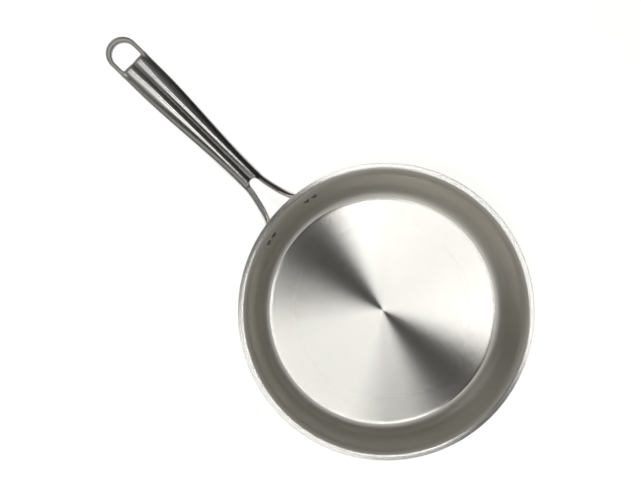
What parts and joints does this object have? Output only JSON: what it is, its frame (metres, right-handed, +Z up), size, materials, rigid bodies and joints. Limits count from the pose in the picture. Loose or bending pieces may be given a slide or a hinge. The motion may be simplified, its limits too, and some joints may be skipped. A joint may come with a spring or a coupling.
{
  "type": "omelette pan",
  "caption": "Round omelette pan of bonded sheet metal with sloping walls, a rolled-out pouring lip and a forked, grooved cast handle riveted to its wall, with a hanging ring.",
  "frame": {"origin": "centre of the underside of the flat base, on the surface that the pan stands on", "axes": "+X from the pan's centre along its handle, +Z up out of the pan, +Y to the left of the handle seen from above with the handle pointing away"},
  "size_m": [0.459, 0.26, 0.0865],
  "materials": {
    "cooking_surface": "brushed in circles, satin walls",
    "core": "bare sheet, seen only at the edge of the lip",
    "outside": "satin",
    "cast_handle": "polished casting",
    "rivet_steel": "satin"
  },
  "bodies": {
    "root": {"inner_skin": "cooking_surface", "aluminium_core": "core", "outer_skin": "outside", "handle": "cast_handle", "rivets": "rivet_steel"}
  },
  "joints": []
}
